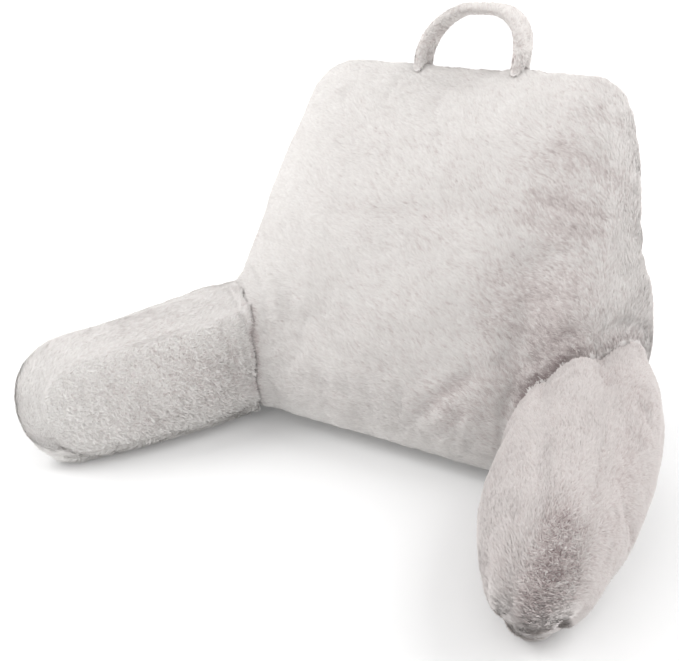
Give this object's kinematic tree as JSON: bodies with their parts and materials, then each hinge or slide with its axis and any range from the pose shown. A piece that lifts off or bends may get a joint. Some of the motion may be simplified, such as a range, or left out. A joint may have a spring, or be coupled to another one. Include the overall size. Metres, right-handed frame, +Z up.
{
  "type": "reading pillow with arms",
  "caption": "Plush reading pillow: a stuffed, leaning backrest with two padded armrests and a carrying loop on top, for sitting up in bed or on a floor",
  "frame": {"origin": "middle of the pillow's bounding box in plan, on the surface that it stands on", "axes": "+Z up, -Y the way the sitter faces, +X to the right of someone looking at its front"},
  "size_m": [0.7556, 0.5127, 0.5343],
  "materials": {
    "backrest_plush": "short dense plush pile, matt with a soft sheen",
    "arm_plush": "short dense plush pile, matt with a soft sheen",
    "handle_plush": "short dense plush pile, matt with a soft sheen"
  },
  "bodies": {
    "root": {"backrest": "backrest_plush", "arm_left": "arm_plush", "arm_right": "arm_plush", "handle": "handle_plush"}
  },
  "joints": []
}
